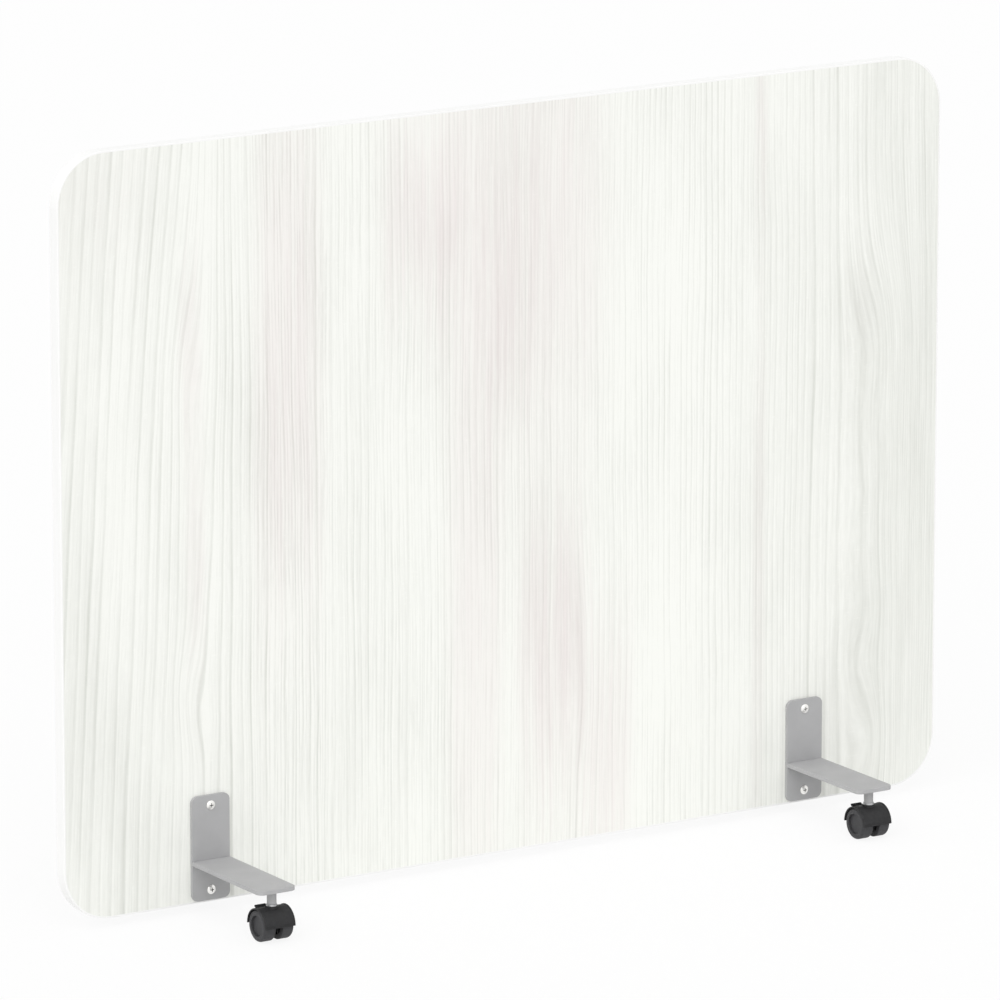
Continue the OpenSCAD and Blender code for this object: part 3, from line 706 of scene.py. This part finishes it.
class FeetLook(bpy.types.PropertyGroup):
    """Finish of the steel feet and of their screws."""
    coat: bpy.props.FloatVectorProperty(
        name="Powder coat", description="Grey of the feet",
        subtype="COLOR", size=3, min=0, max=1, default=linear("B5B5B6"))
    coat_shade: bpy.props.FloatVectorProperty(
        name="Powder coat cloud", description="Faint second tone of the coat",
        subtype="COLOR", size=3, min=0, max=1, default=linear("B0B0B1"))
    nickel: bpy.props.FloatVectorProperty(
        name="Nickel", description="Colour of the screw heads",
        subtype="COLOR", size=3, min=0, max=1, default=linear("F8F7F4"))
    # painted shade in the cross recess of the heads
    recess_painted_shade: bpy.props.FloatVectorProperty(
        name="Recess", description="Dull tone in the cross recess of the heads",
        subtype="COLOR", size=3, min=0, max=1, default=linear("6E6D6B"))
    peel: bpy.props.FloatProperty(
        name="Orange peel", description="Size of the waves of the coat, in mm",
        default=1.4, min=0.3, max=5)
    edge: bpy.props.FloatProperty(
        name="Edge radius", description="Rounding of the steel edges, in mm",
        default=0.6, min=0.1, max=1.5)
    head_edge: bpy.props.FloatProperty(
        name="Head radius", description="Rounding of the edges of screws and sleeve nuts, in mm",
        default=0.12, min=0.05, max=0.3)
    weld_leg: bpy.props.FloatProperty(
        name="Weld leg", description="Height of the weld beads, in mm", default=3.1, min=1, max=5)
    weld_spread: bpy.props.FloatProperty(
        name="Boss weld spread", description="Width of the bead round a boss, in mm",
        default=1.9, min=1, max=4)
    boss_radius: bpy.props.FloatProperty(
        name="Boss radius", description="Radius of the boss that the bead runs round, in mm",
        default=5.5, min=3, max=10)
    weld_length: bpy.props.FloatProperty(
        name="Weld length", description="Length of the bead under an arm, in mm",
        default=45, min=10, max=50)
    bead_pitch: bpy.props.FloatProperty(
        name="Weld pitch", description="Distance between the scales of a weld, in mm",
        default=1.8, min=1, max=4)
    bead_ripple: bpy.props.FloatProperty(
        name="Weld ripple",
        description="Depth of the dips between the scales, as a share of the leg",
        default=0.1, min=0, max=0.3)


class CasterLook(bpy.types.PropertyGroup):
    """Finish of the casters."""
    hood: bpy.props.FloatVectorProperty(
        name="Hood", description="Black of hood and brake lever",
        subtype="COLOR", size=3, min=0, max=1, default=linear("2F2F30"))
    hood_scuff: bpy.props.FloatVectorProperty(
        name="Hood scuffs", description="Paler spots of the hood",
        subtype="COLOR", size=3, min=0, max=1, default=linear("3A3A3B"))
    wheel: bpy.props.FloatVectorProperty(
        name="Wheel", description="Grey of the wheels",
        subtype="COLOR", size=3, min=0, max=1, default=linear("404042"))
    wheel_scuff: bpy.props.FloatVectorProperty(
        name="Wheel scuffs", description="Paler spots of the wheels",
        subtype="COLOR", size=3, min=0, max=1, default=linear("4A4A4C"))
    zinc: bpy.props.FloatVectorProperty(
        name="Zinc", description="Light tone of stem and axle",
        subtype="COLOR", size=3, min=0, max=1, default=linear("C9CACB"))
    zinc_shade: bpy.props.FloatVectorProperty(
        name="Zinc shade", description="Dull tone of stem and axle",
        subtype="COLOR", size=3, min=0, max=1, default=linear("B4B5B6"))
    edge: bpy.props.FloatProperty(
        name="Edge radius", description="Rounding of the moulded edges, in mm",
        default=0.25, min=0.05, max=0.5)


class StageLook(bpy.types.PropertyGroup):
    """Floor, lamps and camera."""
    floor_size: bpy.props.FloatProperty(
        name="Floor", description="Side of the floor", unit="LENGTH", default=120, min=10, max=400)
    floor_white: bpy.props.FloatVectorProperty(
        name="Floor white", description="Colour of the floor",
        subtype="COLOR", size=3, min=0, max=1, default=linear("F7F7F7"))
    floor_glow: bpy.props.FloatProperty(
        name="Floor glow", description="Share of plain white in what the camera sees of the floor",
        subtype="FACTOR", default=0.87, min=0, max=1)
    sky: bpy.props.FloatProperty(
        name="Sky", description="Strength of the even light from all round",
        default=0.72, min=0, max=2)
    key: bpy.props.FloatProperty(
        name="Key lamp", description="Strength of the lamp from the upper left",
        default=1.17, min=0, max=5)
    key_from: bpy.props.FloatVectorProperty(
        name="Key direction", description="Where the key lamp stands, seen from the object",
        subtype="DIRECTION", size=3, default=(-0.50, -0.46, 0.69))
    key_spread: bpy.props.FloatProperty(
        name="Key spread", description="Width of the key lamp", subtype="ANGLE",
        default=1.1, min=0, max=3)
    camera_place: bpy.props.FloatVectorProperty(
        name="Camera", description="Place of the camera", subtype="TRANSLATION", size=3,
        default=(-5.3078, -8.3927, 2.7632))
    camera_yaw: bpy.props.FloatProperty(
        name="Yaw", description="Turn of the camera to the right of +Y",
        subtype="ANGLE", default=math.radians(32.257))
    camera_pitch: bpy.props.FloatProperty(
        name="Pitch", description="Tilt of the camera below the horizon",
        subtype="ANGLE", default=math.radians(13.217))
    lens: bpy.props.FloatProperty(
        name="Lens", description="Focal length of the camera in mm",
        default=316.57, min=10, max=1000)


# ---------------------------------------------------------------- operators

class PARTITION_OT_board(bpy.types.Operator):
    """Gives the board its wood decor and the band its white"""
    bl_idname = "partition.board"
    bl_label = "Board and edge band"

    def execute(self, context):
        look = context.scene.partition_board
        dress("board", whitewashed_melamine(look))
        dress("edge_band", white_band(look))
        return {"FINISHED"}


class PARTITION_OT_feet(bpy.types.Operator):
    """Rounds the edges of the steel feet and coats them"""
    bl_idname = "partition.feet"
    bl_label = "Feet"

    def execute(self, context):
        look = context.scene.partition_feet
        coat = powder_coat(look)
        for foot in FEET:
            softened(foot + "_plate", look.edge, coat)
            softened(foot + "_arm", look.edge, coat)
            softened(foot + "_boss", look.edge / 2, coat)
        return {"FINISHED"}


class PARTITION_OT_welds(bpy.types.Operator):
    """Lays the beads under the arms and round the bosses"""
    bl_idname = "partition.welds"
    bl_label = "Welds"

    def execute(self, context):
        look = context.scene.partition_feet
        coat = bpy.data.materials[COAT_NAME]
        for foot in FEET:
            arm_weld(foot, look, coat)
            boss_weld(foot, look, coat)
        return {"FINISHED"}


class PARTITION_OT_screws(bpy.types.Operator):
    """Rounds the heads of screws and sleeve nuts and plates them"""
    bl_idname = "partition.screws"
    bl_label = "Screws and sleeve nuts"

    def execute(self, context):
        look = context.scene.partition_feet
        nickel = nickel_plate(look)
        for node in ("screws", "sleeve_nuts"):
            softened(node, look.head_edge, nickel)
        return {"FINISHED"}


class PARTITION_OT_casters(bpy.types.Operator):
    """Finishes stems, hoods, axles, brake levers and wheels"""
    bl_idname = "partition.casters"
    bl_label = "Casters"

    def execute(self, context):
        look = context.scene.partition_casters
        zinc = zinc_plate(look)
        hood = moulded_nylon("Black moulded nylon", look.hood, look.hood_scuff,
                             spark=0.5, roughness=0.5, level=0.2)
        wheel = moulded_nylon("Grey moulded nylon", look.wheel, look.wheel_scuff,
                              spark=0.6, roughness=0.55, level=0.25)
        for foot in FEET:
            softened(foot + "_stem", look.edge, zinc)
            softened(foot + "_axle", look.edge / 2, zinc)
            softened(foot + "_hood", look.edge, hood)
            softened(foot + "_brake_lever", look.edge, hood)
            softened(foot + "_wheel_l", look.edge, wheel)
            softened(foot + "_wheel_r", look.edge, wheel)
        return {"FINISHED"}


class PARTITION_OT_stage(bpy.types.Operator):
    """Lays the floor and sets the lamps and the camera"""
    bl_idname = "partition.stage"
    bl_label = "Stage"

    def execute(self, context):
        look = context.scene.partition_stage
        self.lay_floor(look)
        self.light(context, look)
        self.aim(context, look)
        context.scene.view_settings.view_transform = "Standard"
        return {"FINISHED"}

    def lay_floor(self, look):
        """Painted floor: it takes the object's shadow, and the camera sees it near white."""
        feeds = {"Base Color": (*look.floor_white, 1), "Roughness": 0.9, "Specular IOR Level": 0.0}
        material, tree, shader = bare_material("White studio floor", feeds)
        feeds = {0: seen_share(tree), 1: look.floor_glow}
        share = add(tree, "Math", feeds, operation="MULTIPLY").outputs[0]
        glow = add(tree, "Emission", {"Color": (1, 1, 1, 1), "Strength": 1.0}).outputs[0]
        feeds = {0: share, 1: shader.outputs["BSDF"], 2: glow}
        mixed = add(tree, "MixShader", feeds).outputs[0]
        tree.links.new(mixed, tree.get_output_node("ALL").inputs["Surface"])
        bm = bmesh.new()
        bmesh.ops.create_grid(bm, x_segments=1, y_segments=1, size=look.floor_size / 2)
        mesh = bpy.data.meshes.new("floor")
        bm.to_mesh(mesh)
        bm.free()
        mesh.materials.append(material)
        floor = bpy.data.objects.new("floor", mesh)
        bpy.context.scene.collection.objects.link(floor)

    def light(self, context, look):
        """Even light from all round, white where it is seen, and one wide soft lamp."""
        world = bpy.data.worlds.new("Studio")
        world.use_nodes = True
        tree = world.node_tree
        tree.nodes.clear()
        feeds = {0: seen_share(tree), 1: 1 - look.sky, 2: look.sky}
        strength = add(tree, "Math", feeds, operation="MULTIPLY_ADD").outputs[0]
        back = add(tree, "Background", {"Color": (1, 1, 1, 1), "Strength": strength})
        add(tree, "OutputWorld", {"Surface": back.outputs[0]})
        context.scene.world = world
        lamp = bpy.data.lights.new("key", "SUN")
        lamp.energy = look.key
        lamp.angle = look.key_spread
        key = bpy.data.objects.new("key", lamp)
        key.rotation_euler = Vector(look.key_from).to_track_quat("Z", "Y").to_euler()
        context.scene.collection.objects.link(key)

    def aim(self, context, look):
        """Camera at the viewing angle of a product picture, from the front left and above."""
        lens = bpy.data.cameras.new("camera")
        lens.lens = look.lens
        lens.sensor_width = 36.0
        lens.clip_end = 200.0
        camera = bpy.data.objects.new("camera", lens)
        camera.location = look.camera_place
        camera.rotation_euler = (math.pi / 2 - look.camera_pitch, 0, -look.camera_yaw)
        context.scene.collection.objects.link(camera)
        context.scene.camera = camera


class PARTITION_PT_panel(bpy.types.Panel):
    """Lists the steps in their order"""
    bl_label = "Rolling partition"
    bl_idname = "PARTITION_PT_panel"
    bl_space_type = "VIEW_3D"
    bl_region_type = "UI"
    bl_category = "Partition"

    def draw(self, context):
        for operator in OPERATORS:
            self.layout.operator(operator.bl_idname)
        for name in LOOKS:
            box = self.layout.box()
            look = getattr(context.scene, name)
            for key in look.__annotations__:
                box.prop(look, key)


LOOKS = {
    "partition_board": BoardLook,
    "partition_feet": FeetLook,
    "partition_casters": CasterLook,
    "partition_stage": StageLook,
}
OPERATORS = (
    PARTITION_OT_board,
    PARTITION_OT_feet,
    PARTITION_OT_welds,
    PARTITION_OT_screws,
    PARTITION_OT_casters,
    PARTITION_OT_stage,
)


def register():
    """Registers settings, operators and panel."""
    for name, look in LOOKS.items():
        bpy.utils.register_class(look)
        setattr(bpy.types.Scene, name, bpy.props.PointerProperty(type=look))
    for operator in OPERATORS:
        bpy.utils.register_class(operator)
    bpy.utils.register_class(PARTITION_PT_panel)


def unregister():
    """Takes back what register() made."""
    bpy.utils.unregister_class(PARTITION_PT_panel)
    for operator in reversed(OPERATORS):
        bpy.utils.unregister_class(operator)
    for name, look in LOOKS.items():
        delattr(bpy.types.Scene, name)
        bpy.utils.unregister_class(look)


def main():
    """Runs every step."""
    register()
    bpy.ops.partition.board()
    bpy.ops.partition.feet()
    bpy.ops.partition.welds()
    bpy.ops.partition.screws()
    bpy.ops.partition.casters()
    bpy.ops.partition.stage()


if __name__ == "__main__":
    main()
